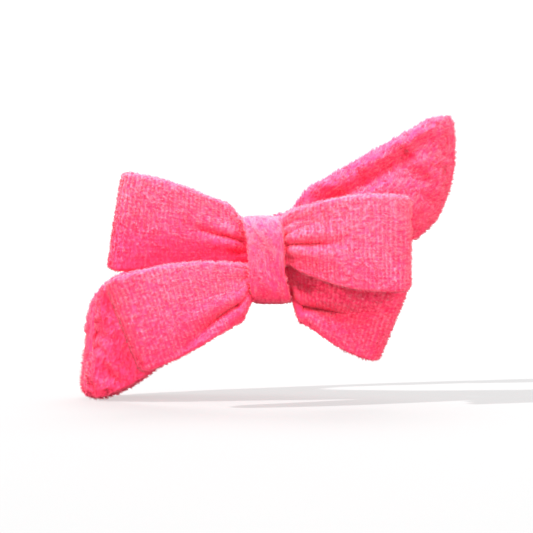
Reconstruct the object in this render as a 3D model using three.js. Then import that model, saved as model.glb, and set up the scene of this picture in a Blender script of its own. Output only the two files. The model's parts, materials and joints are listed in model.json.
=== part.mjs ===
// A plush spa headband: a soft loop that holds the hair back, with a double bow on its front.
// Millimetres and degrees. +X is to the right of someone who faces the bow, and left and right
// in names are theirs. +Y runs from the bow to the back of the head, and +Z is up through the
// opening that the head goes through, whose middle is the origin.
import * as THREE from "three";

// The loop. Its middle surface is an upright oval, skewed so that its +X side stands higher.
const LOOP_HALF_WIDTH = 92;
const LOOP_HALF_DEPTH = 45;
const SIDE_RISE = 46.5; // how far the loop's +X side stands above the origin
const RISE_EASE = 6; // the level stretch under the knot
const SIDE_LEAN = 5; // how far the rims lean along X at the sides
const SEAM_ANGLE = 14; // where the side seams stand, in front of the widest points
const FRONT_HALF_HEIGHT = 30.5; // half the front band's height at the sides
const NECK_HALF_WIDTH = 10;
const FLARE = 26; // the distance over which the gathers open out
const BACK_HALF_HEIGHT = 19; // half the rear casing's height at the back
const CASING_SHORTFALL = 0.5; // how much less than the front band's its half height is at a seam

// The cloth and what is in it.
const PLUSH = 2.4; // one layer of plush, pile included
const GAP = 0.3; // between layers that touch
const WADDING = 4.8;
const WADDING_EDGE = 0.8; // its thickness at its edges
const WADDING_INSET = 2.5;
const EDGE_ROLL = 2.2; // the turned seam along each rim
const SEAM_WIDTH = 1.6; // the space that a side seam's thread lies in
const THREAD = 0.7;
const ELASTIC_HEIGHT = 25;
const ELASTIC_THICKNESS = 1.2;
const ELASTIC_CLEARANCE = 0.5;
const LABEL_WIDTH = 12;
const LABEL_LENGTH = 16;
const LABEL_THICKNESS = 0.6;
const LABEL_ABOVE_RIM = 6; // how far above the loop's lower rim the label starts

// The bow: two strips of doubled plush, crossed, each a loop on either side of the knot.
const STRIP_WALL = 3.2;
const LOBE_HALF_DEPTH = 7; // from a lobe's middle plane to the middle of its wall
const LOBE_GAP = 2; // between the knot and where a lobe starts
const REAR_LEAN = 4; // how far forward the rear strip's ends stand
const FRONT_LEAN = 15;
const BEND_SHARE = 0.4; // the share of a lobe's steps that go round its end
const OPEN_SHARE = 0.8; // the share of its length over which its walls part
const LEAN_SHARE = 0.6; // the share of a lobe's length over which it comes forward
const BOW_CLEARANCE = 0.8; // between the band and the bow
const STRIP_ROUNDING = 0.35; // how much thinner a gathered strip is at its edges
const STRIP_CLEARANCE = 0.5; // between the two strips at the knot

// The knot: a strip wrapped round the bow and the band.
const KNOT_HALF_WIDTH = 9.3;
const KNOT_HALF_HEIGHT = 22.3;
const KNOT_WALL = 2.6;
const KNOT_TILT = 8;
const KNOT_SQUARENESS = 0.4; // the exponent of its rounded section
const KNOT_CLEARANCE = 1;
const NECK_CLEARANCE = 5.4; // above and below the gathered band, so that the knot can turn on it
const BINDING = 0.9; // the thread wound round the strips before they are wrapped
const BINDING_HALF_WIDTH = 1.5;
const CLOSING_HALF_HEIGHT = 12; // half the length of the wrap's closing seam
const CLOSING_REACH = 1.2; // how far its stitches reach to either side
const CLOSING_STITCHES = 8;

const RAD = Math.PI / 180;
const HALF_BAND = PLUSH + GAP + WADDING / 2;
const CASING_HALF = ELASTIC_THICKNESS / 2 + ELASTIC_CLEARANCE + PLUSH;
const STRIP_DEPTH = 2 * STRIP_WALL + GAP;
const REAR_STRIP = LOOP_HALF_DEPTH + HALF_BAND + BOW_CLEARANCE + STRIP_DEPTH / 2;
const FRONT_STRIP = REAR_STRIP + STRIP_DEPTH + STRIP_CLEARANCE;
const KNOT_FRONT = FRONT_STRIP + STRIP_DEPTH / 2 + BINDING + 4 * GAP + KNOT_WALL;
const NECK_HALF_HEIGHT = KNOT_HALF_HEIGHT - KNOT_WALL - NECK_CLEARANCE;
const KNOT_BACK = LOOP_HALF_DEPTH - HALF_BAND - KNOT_CLEARANCE - KNOT_WALL;

// Each lobe's outline, seen from the front: its lower and upper edge at the knot (heights) and
// at its end (x, z), and how far those edges belly out halfway.
const LOBES = [
  {
    name: "bow_rear_left",
    side: -1,
    strip: REAR_STRIP,
    lean: REAR_LEAN,
    root: [-1.5, 20.5],
    end: [[-80, -6], [-73, 44]],
    belly: [-1, 4],
  },
  {
    name: "bow_front_left",
    side: -1,
    strip: FRONT_STRIP,
    lean: FRONT_LEAN,
    root: [-21, -3.5],
    end: [[-61, -56.5], [-80, -10.5]],
    belly: [-3, 4],
  },
  {
    name: "bow_rear_right",
    side: 1,
    strip: REAR_STRIP,
    lean: REAR_LEAN,
    root: [-20.5, -3],
    end: [[55.5, -51.5], [73, -9]],
    belly: [-4.5, 0],
  },
  {
    name: "bow_front_right",
    side: 1,
    strip: FRONT_STRIP,
    lean: FRONT_LEAN,
    root: [-2.5, 20.5],
    end: [[72, -15.5], [71.5, 32]],
    belly: [-4.5, 5],
  },
];

const lerp = THREE.MathUtils.lerp;
const smooth = (x) => THREE.MathUtils.smoothstep(x, 0, 1);

function cloth(colour) {
  return new THREE.MeshStandardMaterial({ color: colour, roughness: 0.95, metalness: 0 });
}

const plush = cloth(0xfb6f98);
const wadding = cloth(0xf4f1ec);
const thread = cloth(0xe8547f);
const elastic = cloth(0xf7f4f0);
const label = cloth(0xfbfaf8);

// A closed body between two layers of points, outer(u, v) and inner(u, v). It may close on
// itself along u or along v; otherwise its border is walled.
function shell(nu, nv, outer, inner, { closeU = false, closeV = false } = {}) {
  const rows = closeU ? nu : nu + 1;
  const columns = closeV ? nv : nv + 1;
  const positions = [];
  for (const layer of [outer, inner])
    for (let i = 0; i < rows; i++)
      for (let j = 0; j < columns; j++) positions.push(...layer(i / nu, j / nv));
  const at = (layer, i, j) => layer * rows * columns + (i % rows) * columns + (j % columns);
  const index = [];
  const quad = (a, b, c, d) => index.push(a, b, c, a, c, d);
  for (let i = 0; i < nu; i++)
    for (let j = 0; j < nv; j++) {
      quad(at(0, i, j), at(0, i + 1, j), at(0, i + 1, j + 1), at(0, i, j + 1));
      quad(at(1, i, j), at(1, i, j + 1), at(1, i + 1, j + 1), at(1, i + 1, j));
    }
  if (!closeU)
    for (let j = 0; j < nv; j++) {
      quad(at(0, 0, j), at(0, 0, j + 1), at(1, 0, j + 1), at(1, 0, j));
      quad(at(0, nu, j), at(1, nu, j), at(1, nu, j + 1), at(0, nu, j + 1));
    }
  if (!closeV)
    for (let i = 0; i < nu; i++) {
      quad(at(0, i, 0), at(1, i, 0), at(1, i + 1, 0), at(0, i + 1, 0));
      quad(at(0, i, nv), at(0, i + 1, nv), at(1, i + 1, nv), at(1, i, nv));
    }
  return facingOut(positions, index);
}

// The geometry with its faces pointing out, whichever way its layers were given.
function facingOut(positions, index) {
  const p = (k) => new THREE.Vector3().fromArray(positions, 3 * k);
  let volume = 0;
  for (let k = 0; k < index.length; k += 3)
    volume += p(index[k]).dot(p(index[k + 1]).cross(p(index[k + 2])));
  const geometry = new THREE.BufferGeometry();
  geometry.setAttribute("position", new THREE.Float32BufferAttribute(positions, 3));
  geometry.setIndex(volume < 0 ? index.reverse() : index);
  geometry.computeVertexNormals();
  return geometry;
}

// A round thread along a list of points.
function threadAlong(points, diameter, steps, closed = false) {
  const section = new THREE.Shape().absarc(0, 0, diameter / 2, 0, 2 * Math.PI, false);
  return new THREE.ExtrudeGeometry(section, {
    curveSegments: 3,
    steps,
    bevelEnabled: false,
    extrudePath: new THREE.CatmullRomCurve3(points, closed),
  });
}

// The surface a distance d off a middle surface, along its normal.
function offset(surface, d) {
  const step = 1e-4;
  return (u, v) => {
    const du = surface(u + step, v).sub(surface(u - step, v));
    const dv = surface(u, v + step).sub(surface(u, v - step));
    return surface(u, v).addScaledVector(du.cross(dv).normalize(), d);
  };
}

// ---- The loop -------------------------------------------------------------------------------

// The height of the loop's centreline at x: level under the knot, then climbing to each side.
function centreHeight(x) {
  const run = (distance) => Math.hypot(distance, RISE_EASE) - RISE_EASE;
  return Math.sign(x) * SIDE_RISE * (run(x) / run(LOOP_HALF_WIDTH));
}

// A point of the loop at angle t (-90 is the bow, 90 the back), at height h off its centreline
// and a distance d outwards from its middle surface.
function loopPoint(t, h, d) {
  const c = Math.cos(t * RAD);
  const s = Math.sin(t * RAD);
  const x = LOOP_HALF_WIDTH * c;
  const out = new THREE.Vector2(c / LOOP_HALF_WIDTH, s / LOOP_HALF_DEPTH).normalize();
  const lean = (SIDE_LEAN * c * c * h) / FRONT_HALF_HEIGHT;
  return new THREE.Vector3(
    x + lean + d * out.x,
    LOOP_HALF_DEPTH * s + d * out.y,
    centreHeight(x) + h,
  );
}

function frontHalfHeight(t) {
  const x = Math.abs(LOOP_HALF_WIDTH * Math.cos(t * RAD));
  const open = smooth((x - NECK_HALF_WIDTH) / FLARE);
  return lerp(NECK_HALF_HEIGHT, FRONT_HALF_HEIGHT, open);
}

function casingHalfHeight(t) {
  const seam = Math.sin(SEAM_ANGLE * RAD);
  const behind = smooth((Math.sin(t * RAD) + seam) / (1 + seam));
  return lerp(FRONT_HALF_HEIGHT - CASING_SHORTFALL, BACK_HALF_HEIGHT, behind);
}

// The angle that a length along X takes up at a side seam.
const seamShare = (SEAM_WIDTH / 2 / LOOP_HALF_DEPTH / Math.cos(SEAM_ANGLE * RAD)) / RAD;
const FRONT_FROM = -180 + SEAM_ANGLE + seamShare;
const FRONT_TO = -SEAM_ANGLE - seamShare;
const frontAngle = (u) => lerp(FRONT_FROM, FRONT_TO, u);

// Half the space between the two panels of the front band, thin at its rims.
function coreHalf(v) {
  const belly = 1 - Math.abs(2 * v - 1) ** 4;
  return lerp(WADDING_EDGE, WADDING, belly) / 2;
}

// One plush panel of the front band. side is 1 for the outer one, -1 for the lining.
function bandPanel(side) {
  const layer = (extra) => (u, v) => {
    const t = frontAngle(u);
    const h = (frontHalfHeight(t) - EDGE_ROLL - GAP) * (2 * v - 1);
    return loopPoint(t, h, side * (coreHalf(v) + GAP + extra));
  };
  return shell(32, 6, layer(PLUSH), layer(0));
}

function bandWadding() {
  const layer = (side) => (u, v) => {
    const t = lerp(FRONT_FROM + seamShare, FRONT_TO - seamShare, u);
    const h = (frontHalfHeight(t) - EDGE_ROLL - WADDING_INSET) * (2 * v - 1);
    return loopPoint(t, h, side * coreHalf(v));
  };
  return shell(32, 6, layer(1), layer(-1));
}

// The turned seam along the upper (side 1) or lower (-1) rim of the front band.
function rimSeam(side) {
  const half = EDGE_ROLL / 2;
  const depth = WADDING_EDGE / 2 + GAP + PLUSH;
  const section = (u, v) => {
    const t = frontAngle(u);
    const a = 2 * Math.PI * v;
    const h = side * (frontHalfHeight(t) - half) + half * Math.sin(a);
    return loopPoint(t, h, depth * Math.cos(a));
  };
  return tube(32, 8, section);
}

// A solid bar with a closed section: outer(u, v) goes round it as v goes from 0 to 1.
function tube(nu, nv, outer) {
  const positions = [];
  for (let i = 0; i <= nu; i++)
    for (let j = 0; j < nv; j++) positions.push(...outer(i / nu, j / nv));
  const at = (i, j) => i * nv + (j % nv);
  const index = [];
  for (let i = 0; i < nu; i++)
    for (let j = 0; j < nv; j++)
      index.push(at(i, j), at(i + 1, j), at(i + 1, j + 1), at(i, j), at(i + 1, j + 1), at(i, j + 1));
  for (let j = 1; j < nv - 1; j++) {
    index.push(at(0, 0), at(0, j), at(0, j + 1));
    index.push(at(nu, 0), at(nu, j + 1), at(nu, j));
  }
  return facingOut(positions, index);
}

// The thread that closes a side seam, between the front band's end and the casing's.
function sideSeamThread(side) {
  const points = [];
  const t = side > 0 ? -SEAM_ANGLE : -180 + SEAM_ANGLE;
  const reach = FRONT_HALF_HEIGHT - EDGE_ROLL;
  for (let k = 0; k <= 8; k++) points.push(loopPoint(t, lerp(-reach, reach, k / 8), PLUSH / 2));
  return threadAlong(points, THREAD, 8);
}

// A point on a flat oval section: height and depth at angle v round it.
function ovalSection(v, halfHeight, halfDepth) {
  const a = 2 * Math.PI * v;
  const square = (x) => Math.sign(x) * Math.abs(x) ** 0.55;
  return [halfHeight * square(Math.sin(a)), halfDepth * square(Math.cos(a))];
}

// The plush tube round the back of the head, open at both ends.
const CASING_FROM = -SEAM_ANGLE + seamShare;
const CASING_TO = 180 + SEAM_ANGLE - seamShare;

function rearCasing() {
  const layer = (inset) => (u, v) => {
    const t = lerp(CASING_FROM, CASING_TO, u);
    const [h, d] = ovalSection(v, casingHalfHeight(t) - inset, CASING_HALF - inset);
    return loopPoint(t, h, d);
  };
  return shell(36, 16, layer(0), layer(PLUSH), { closeV: true });
}

function rearElastic() {
  const layer = (side) => (u, v) =>
    loopPoint(
      lerp(CASING_FROM, CASING_TO, u),
      (ELASTIC_HEIGHT / 2) * (2 * v - 1),
      (side * ELASTIC_THICKNESS) / 2,
    );
  return shell(36, 1, layer(1), layer(-1));
}

// A blank care label, caught in the casing's lower edge inside the +X seam.
function careLabel() {
  const span = LABEL_WIDTH / LOOP_HALF_DEPTH / RAD;
  const layer = (depth) => (u, v) => {
    const t = lerp(CASING_FROM + 2, CASING_FROM + 2 + span, u);
    const d = -CASING_HALF - GAP - depth;
    return loopPoint(t, LABEL_LENGTH * v + LABEL_ABOVE_RIM - FRONT_HALF_HEIGHT, d);
  };
  return shell(4, 1, layer(LABEL_THICKNESS), layer(0));
}

// ---- The bow --------------------------------------------------------------------------------

// The knot's side edge at height z: it leans with the knot.
const knotEdge = (side, z) => side * KNOT_HALF_WIDTH - z * Math.tan(KNOT_TILT * RAD);

// Half the distance between the front and back walls' middles, at a share s of a lobe's length.
function lobeHalfDepth(s) {
  const root = (STRIP_WALL + GAP) / 2;
  return lerp(root, LOBE_HALF_DEPTH, smooth(s / OPEN_SHARE));
}

// A lobe's middle surface. u runs out along the front wall, round the end and back along the
// rear wall; v runs from the lower edge to the upper one.
function lobeSurface(lobe) {
  const [low, high] = lobe.root;
  const reach = Math.abs(lobe.end[0][0] + lobe.end[1][0]) / 2 - KNOT_HALF_WIDTH;
  const bend = 1 - LOBE_HALF_DEPTH / reach;
  const walls = 1 / BEND_SHARE; // turn runs from walls at one root to -walls at the other
  return (u, v) => {
    const turn = (1 - 2 * u) * walls;
    const arc = THREE.MathUtils.clamp(turn, -1, 1) * 90 * RAD;
    const flat = Math.abs(turn) > 1 ? (walls - Math.abs(turn)) / (walls - 1) : 1;
    const s = flat * bend + (1 - bend) * Math.cos(arc);
    const w = Math.sin(arc) * lobeHalfDepth(flat * bend);
    const edge = (k, z) => {
      const x = knotEdge(lobe.side, z) + lobe.side * LOBE_GAP;
      const belly = lobe.belly[k] * Math.sin(Math.PI * s);
      return [lerp(x, lobe.end[k][0], s), lerp(z, lobe.end[k][1], s) + belly];
    };
    const lower = edge(0, low);
    const upper = edge(1, high);
    const rise = Math.sin((Math.PI / 2) * Math.min(1, s / LEAN_SHARE));
    const forward = lobe.strip + lobe.lean * rise + w;
    return new THREE.Vector3(lerp(lower[0], upper[0], v), -forward, lerp(lower[1], upper[1], v));
  };
}

function lobe(shape) {
  const surface = lobeSurface(shape);
  return shell(28, 4, offset(surface, STRIP_WALL / 2), offset(surface, -STRIP_WALL / 2));
}

// The seam that closes a strip's tube, along the inside of the lobe's rear wall.
function lobeSeamThread(shape) {
  const middle = lobeSurface(shape);
  const inwards = -shape.side * (STRIP_WALL / 2 + GAP + THREAD / 2);
  const inside = offset(middle, inwards);
  const points = [];
  for (let k = 0; k <= 6; k++) points.push(inside(lerp(0.71, 0.86, k / 6), 0.5));
  return threadAlong(points, THREAD, 6);
}

// The pinched middle of a strip, under the knot: from one lobe's root to the other's.
function stripCentre(left, right, forward) {
  const most = KNOT_HALF_HEIGHT - KNOT_WALL - BINDING - 6 * GAP;
  const limit = (z) => THREE.MathUtils.clamp(z, -most, most);
  const layer = (side) => (u, v) => {
    const depth = (STRIP_DEPTH / 2) * (1 - STRIP_ROUNDING * (2 * v - 1) ** 4);
    const low = lerp(limit(left.root[0]), limit(right.root[0]), u);
    const high = lerp(limit(left.root[1]), limit(right.root[1]), u);
    const z = lerp(low, high, v);
    const x = lerp(knotEdge(-1, z), knotEdge(1, z), u);
    return new THREE.Vector3(x, -forward - side * depth, z);
  };
  return shell(4, 6, layer(1), layer(-1));
}

// A ring round the knot, leaning with it: its section's middle line runs from back to front
// and between plus and minus its half height.
function knotRing(back, front, halfHeight, halfWidth, wall, nu, nv) {
  const middle = (back + front) / 2;
  const reach = (front - back) / 2;
  const layer = (inset) => (u, v) => {
    const a = 2 * Math.PI * u;
    const square = (x) => Math.sign(x) * Math.abs(x) ** KNOT_SQUARENESS;
    const z = (halfHeight - inset) * square(Math.sin(a));
    const forward = middle + (reach - inset) * square(Math.cos(a));
    const x = lerp(-halfWidth, halfWidth, v) - z * Math.tan(KNOT_TILT * RAD);
    return new THREE.Vector3(x, -forward, z);
  };
  return shell(nu, nv, layer(0), layer(wall), { closeU: true });
}

function knotWrap() {
  return knotRing(KNOT_BACK, KNOT_FRONT, KNOT_HALF_HEIGHT, KNOT_HALF_WIDTH, KNOT_WALL, 36, 2);
}

// The thread wound round both strips, inside the wrap.
function bindingThread() {
  const back = REAR_STRIP - STRIP_DEPTH / 2 - BINDING / 2 - GAP / 3;
  const front = FRONT_STRIP + STRIP_DEPTH / 2 + BINDING;
  const height = KNOT_HALF_HEIGHT - KNOT_WALL - 4 * GAP;
  return knotRing(back, front, height, BINDING_HALF_WIDTH, BINDING / 2, 28, 1);
}

// The hand stitches that close the wrap, on its face towards the head.
function closingStitch() {
  const y = -KNOT_BACK + GAP + THREAD / 2;
  const points = [];
  for (let k = 0; k <= CLOSING_STITCHES; k++) {
    const z = CLOSING_HALF_HEIGHT * ((2 * k) / CLOSING_STITCHES - 1);
    const x = (k % 2 ? CLOSING_REACH : -CLOSING_REACH) - z * Math.tan(KNOT_TILT * RAD);
    points.push(new THREE.Vector3(x, y, z));
  }
  return threadAlong(points, THREAD, 3 * CLOSING_STITCHES);
}

// ---- The assembly ---------------------------------------------------------------------------

const headband = new THREE.Group();

function add(name, geometry, material) {
  const mesh = new THREE.Mesh(geometry, material);
  mesh.name = name;
  headband.add(mesh);
}

add("front_band_outer", bandPanel(1), plush);
add("front_band_lining", bandPanel(-1), plush);
add("front_band_wadding", bandWadding(), wadding);
add("upper_rim_seam", rimSeam(1), plush);
add("lower_rim_seam", rimSeam(-1), plush);
add("left_seam_thread", sideSeamThread(-1), thread);
add("right_seam_thread", sideSeamThread(1), thread);
add("rear_casing", rearCasing(), plush);
add("rear_elastic", rearElastic(), elastic);
add("care_label", careLabel(), label);
for (const shape of LOBES) {
  add(shape.name, lobe(shape), plush);
  add(shape.name + "_seam", lobeSeamThread(shape), thread);
}
add("front_strip_centre", stripCentre(LOBES[1], LOBES[3], FRONT_STRIP), plush);
add("rear_strip_centre", stripCentre(LOBES[0], LOBES[2], REAR_STRIP), plush);
add("binding_thread", bindingThread(), thread);
add("knot_wrap", knotWrap(), plush);
add("knot_closing_stitch", closingStitch(), thread);

export default headband;
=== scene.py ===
import json
import math

import bpy
import numpy as np
from bpy.props import FloatProperty, FloatVectorProperty, PointerProperty
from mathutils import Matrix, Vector
from mathutils.kdtree import KDTree


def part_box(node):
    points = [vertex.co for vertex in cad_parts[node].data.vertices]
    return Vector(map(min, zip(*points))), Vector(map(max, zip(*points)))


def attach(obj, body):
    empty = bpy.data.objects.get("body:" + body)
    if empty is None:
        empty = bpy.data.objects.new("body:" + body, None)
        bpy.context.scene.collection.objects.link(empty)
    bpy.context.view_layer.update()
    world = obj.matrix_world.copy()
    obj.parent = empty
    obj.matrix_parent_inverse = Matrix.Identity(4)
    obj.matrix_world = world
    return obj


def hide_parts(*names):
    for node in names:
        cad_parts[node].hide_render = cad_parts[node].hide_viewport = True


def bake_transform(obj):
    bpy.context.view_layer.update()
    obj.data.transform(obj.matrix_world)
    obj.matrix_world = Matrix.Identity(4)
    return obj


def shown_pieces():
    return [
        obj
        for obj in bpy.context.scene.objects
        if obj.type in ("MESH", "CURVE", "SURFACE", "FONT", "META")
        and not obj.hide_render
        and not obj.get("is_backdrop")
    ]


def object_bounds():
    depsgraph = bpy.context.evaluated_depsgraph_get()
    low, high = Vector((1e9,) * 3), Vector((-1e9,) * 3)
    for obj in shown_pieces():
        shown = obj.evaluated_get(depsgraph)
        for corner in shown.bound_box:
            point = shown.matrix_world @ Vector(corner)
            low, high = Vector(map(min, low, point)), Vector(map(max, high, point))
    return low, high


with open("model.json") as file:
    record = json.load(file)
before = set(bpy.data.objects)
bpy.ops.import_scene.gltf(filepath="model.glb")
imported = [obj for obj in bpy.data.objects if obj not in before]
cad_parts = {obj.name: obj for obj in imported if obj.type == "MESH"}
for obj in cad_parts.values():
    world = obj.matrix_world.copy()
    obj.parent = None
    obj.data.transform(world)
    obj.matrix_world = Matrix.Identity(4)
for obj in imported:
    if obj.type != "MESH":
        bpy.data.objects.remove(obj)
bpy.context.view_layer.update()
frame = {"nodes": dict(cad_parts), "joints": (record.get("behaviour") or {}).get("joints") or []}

bl_info = {
    "name": "Spa headband",
    "version": (1, 0, 0),
    "blender": (4, 5, 0),
    "location": "3D View > Sidebar > Headband",
    "description": "Makes a plush spa headband with a crossed double bow round its packed frame",
    "category": "Add Mesh",
}

MM = 0.001
RAD = math.pi / 180

# Each grid's rows along its piece and columns round it.
BAND_GRID = (430, 216)
CASING_GRID = (520, 170)
LOBE_GRID = (300, 210)
KNOT_GRID = (420, 120)
ELASTIC_GRID = (200, 48)
LABEL_GRID = (30, 80)

# The simulation of the front band: the grid that it runs on, what it holds still, in rows at
# each end and columns at each rim, the air pressure and the share of spare cloth.
COARSE_ROWS = 96
COARSE_STEP = 4
HELD_ENDS = 6
HELD_RIMS = (slice(52, 57), slice(160, 165))
PAD_PRESSURE = 3.0
PAD_SPARE = 0.04

# How deep the pile's relief is, and the ribs' share of it on the bow.
BAND_RELIEF = 0.22 * MM
CASING_RELIEF = 0.4 * MM
BOW_RELIEF = 0.22 * MM
KNOT_RELIEF = 0.2 * MM
RIB_SHARE = 0.35

# The pile's painted shade and highlight, from one end of its grading to the other, and the two
# steps of that scale where its tufts change from the deep tone to the middle one and to the pale
# one: the deep and pale tones are shaded and lit copies of the plush.
LOOP_PAINTED_LIGHT = (-1.1, -0.15)
KNOT_PAINTED_LIGHT = (-0.5, 0.8)
TONE_STEPS = (-0.45, 0.55)
PLUSH_SHEEN = {
    "Sheen_Weight": 0.2, "Sheen_Roughness": 0.5, "Sheen_Tint": (1.0, 0.92, 0.80, 1.0),
    "Specular_IOR_Level": 0.05,
}

SEAM_GAP = 0.25 * MM  # from a side seam to the end of each piece that meets there
ARC_SHARE = 1.35  # the oval's arc near a side seam, over the half depth times the angle
PAD_SQUARENESS = 0.62  # the exponent of the front band's section
ELASTIC_HEIGHT = 25 * MM
ELASTIC_HALF = 0.6 * MM
LABEL_WIDTH = 12 * MM
LABEL_LENGTH = 16 * MM
LABEL_HALF = 0.2 * MM
STRIP_WIDTH = 50 * MM
WRAP_HALF = 1.5 * MM

# ---- Sizes and colours ------------------------------------------------------------------------


def length(name, default, description):
    """A property that holds a length in metres."""
    return FloatProperty(
        name=name, default=default, min=0.0, subtype="DISTANCE", unit="LENGTH",
        description=description,
    )


def share(name, default, description):
    """A property that holds a plain share or count per area."""
    return FloatProperty(name=name, default=default, min=0.0, description=description)


def colour(name, default, description):
    """A property that holds a linear colour."""
    return FloatVectorProperty(
        name=name, default=default, size=3, min=0.0, max=1.0, subtype="COLOR",
        description=description,
    )


class LoopSizes(bpy.types.PropertyGroup):
    """The loop that goes round the head."""

    half_width: length("Half width", 92 * MM, "Middle surface, from the origin to a side")
    half_depth: length("Half depth", 45 * MM, "Middle surface, from the origin to the back")
    side_rise: length("Side rise", 46.5 * MM, "How far the +X side stands above the origin")
    rise_ease: length("Rise ease", 6 * MM, "The level stretch under the knot")
    side_lean: length("Side lean", 4 * MM, "How far the rims lean along X at the sides")
    seam_angle: FloatProperty(
        name="Seam angle", default=14 * RAD, subtype="ANGLE", unit="ROTATION",
        description="Where the side seams stand, in front of the widest points",
    )
    front_half_height: length("Front half height", 30.5 * MM, "Half the front band's height")
    neck_half_height: length("Neck half height", 14.3 * MM, "Half its height under the knot")
    neck_half_width: length("Neck half width", 8 * MM, "Half the gathered stretch's width")
    flare: length("Flare", 16 * MM, "The distance over which the gathers open out")
    back_half_height: length("Back half height", 19 * MM, "Half the casing's height behind")
    pad_half: length("Pad half thickness", 5.3 * MM, "Half the front band's thickness")
    casing_half: length("Casing half thickness", 4.2 * MM, "Half the casing's thickness")


class BowSizes(bpy.types.PropertyGroup):
    """The bow and its knot."""

    strip_half: length("Strip half thickness", 1.75 * MM, "Half a strip's wall")
    lobe_half_depth: length("Lobe half depth", 7 * MM, "Middle plane to middle of the wall")
    rear_strip: length("Rear strip", 54.25 * MM, "How far forward the rear strip's middle is")
    front_strip: length("Front strip", 61.45 * MM, "How far forward the front strip's is")
    rear_lean: length("Rear lean", 4 * MM, "How far forward the rear strip's ends stand")
    front_lean: length("Front lean", 15 * MM, "How far forward the front strip's ends stand")
    tuck: length("Tuck", 7 * MM, "How far each lobe runs in under the knot")
    knot_half_width: length("Knot half width", 9.3 * MM, "Half the wrap's width")
    knot_half_height: length("Knot half height", 22.3 * MM, "Half the wrap's height")
    knot_tilt: FloatProperty(
        name="Knot tilt", default=8 * RAD, subtype="ANGLE", unit="ROTATION",
        description="How far the knot leans to the -X side",
    )


class PileSizes(bpy.types.PropertyGroup):
    """The plush's pile."""

    band_tuft: length("Band tuft", 1.8 * MM, "Length of the band's tufts")
    bow_tuft: length("Bow tuft", 1.35 * MM, "Length of the bow's tufts")
    tuft_half: length("Tuft half width", 0.17 * MM, "Half a tuft's width at its root")
    density: share("Density", 2.2e6, "Tufts to a square metre")
    rib_pitch: length("Rib pitch", 2.1 * MM, "From one knitted rib to the next")


class HeadbandColours(bpy.types.PropertyGroup):
    """Linear colours."""

    # The deep and pale tones are the pile's own tone at random and also painted shade and painted
    # highlight.
    plush: colour("Plush", (0.98, 0.080, 0.167), "The pile's middle tone")
    deep_plush_and_painted_shade: colour("Plush, deep", (0.97, 0.039, 0.128), "Between the tufts")
    pale_plush_and_painted_highlight: colour("Plush, tips", (0.98, 0.163, 0.243), "The tips of the pile")
    thread: colour("Thread", (0.80, 0.075, 0.18), "Sewing thread")
    wadding: colour("Wadding", (0.86, 0.85, 0.82), "Polyester wadding")
    elastic: colour("Elastic", (0.85, 0.83, 0.79), "Knitted elastic")
    label: colour("Label", (0.88, 0.87, 0.85), "The blank care label")


def sizes():
    """The scene's property groups, by short names."""
    scene = bpy.context.scene
    return scene.headband_loop, scene.headband_bow, scene.headband_pile, scene.headband_colours


# ---- Numbers and noise ------------------------------------------------------------------------


def ease(x):
    """Smoothstep: 3x^2 - 2x^3 on x held to 0..1."""
    x = np.clip(x, 0.0, 1.0)
    return x * x * (3.0 - 2.0 * x)


def mix(a, b, t):
    """Straight from a to b as t goes from 0 to 1."""
    return a + (b - a) * t


def hump(x, middle, width):
    """A bell curve of height 1, e^-((x - middle) / width)^2."""
    return np.exp(-(((x - middle) / width) ** 2))


def power(x, p):
    """The sign of x times |x| to the power p, which squares or rounds an oval."""
    return np.sign(x) * np.abs(x) ** p


def noise(x, y, seed, wrap=256):
    """Smooth value noise from -1 to 1: random numbers on a unit lattice, eased between its
    points. It repeats along y after wrap cells."""
    table = np.random.default_rng(seed).uniform(-1, 1, (256, 256))
    i = np.floor(x).astype(int)
    j = np.floor(y).astype(int)
    fx = ease(x - i)
    fy = ease(y - j)
    i0 = i % 256
    i1 = (i + 1) % 256
    j0 = j % wrap % 256
    j1 = (j + 1) % wrap % 256
    low = mix(table[i0, j0], table[i1, j0], fx)
    high = mix(table[i0, j1], table[i1, j1], fx)
    return mix(low, high, fy)


# ---- Grids: arrays of points, rows along u and columns round or across v --------------------


def unit(v):
    """Vectors over their own lengths."""
    return v / np.maximum(np.linalg.norm(v, axis=-1, keepdims=True), 1e-12)


def along(p, axis, closed):
    """The change of p from step to step along an axis, by central differences."""
    if closed:
        return (np.roll(p, -1, axis) - np.roll(p, 1, axis)) / 2
    return np.gradient(p, axis=axis)


def tangents(p, close_u, close_v):
    """Steps along u and v, and the unit normal, which is du x dv over its length."""
    du = along(p, 0, close_u)
    dv = along(p, 1, close_v)
    return du, dv, unit(np.cross(du, dv))


def arc_lengths(p, axis, closed):
    """Length run along an axis from its start, the mean over the other axis, and the whole."""
    step = np.roll(p, -1, axis) - p
    size = np.linalg.norm(step, axis=-1).mean(axis=1 - axis)
    total = size.sum() if closed else size[:-1].sum()
    return np.concatenate([[0.0], np.cumsum(size)[:-1]]), total


def even(points, count, closed=True):
    """An outline resampled to count points that stand evenly along its length."""
    ring = np.vstack([points, points[:1]]) if closed else points
    run = np.concatenate([[0.0], np.cumsum(np.linalg.norm(np.diff(ring, axis=0), axis=1))])
    at = np.linspace(0.0, run[-1], count, endpoint=not closed)
    return np.column_stack([np.interp(at, run, ring[:, k]) for k in range(ring.shape[1])])


def faces_of(rows, columns, close_u, close_v):
    """The grid's quads as corner numbers."""
    i = np.arange(rows if close_u else rows - 1)
    j = np.arange(columns if close_v else columns - 1)
    i, j = np.meshgrid(i, j, indexing="ij")
    i2 = (i + 1) % rows
    j2 = (j + 1) % columns
    corners = [i * columns + j, i2 * columns + j, i2 * columns + j2, i * columns + j2]
    return np.stack(corners, -1).reshape(-1, 4)


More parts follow.
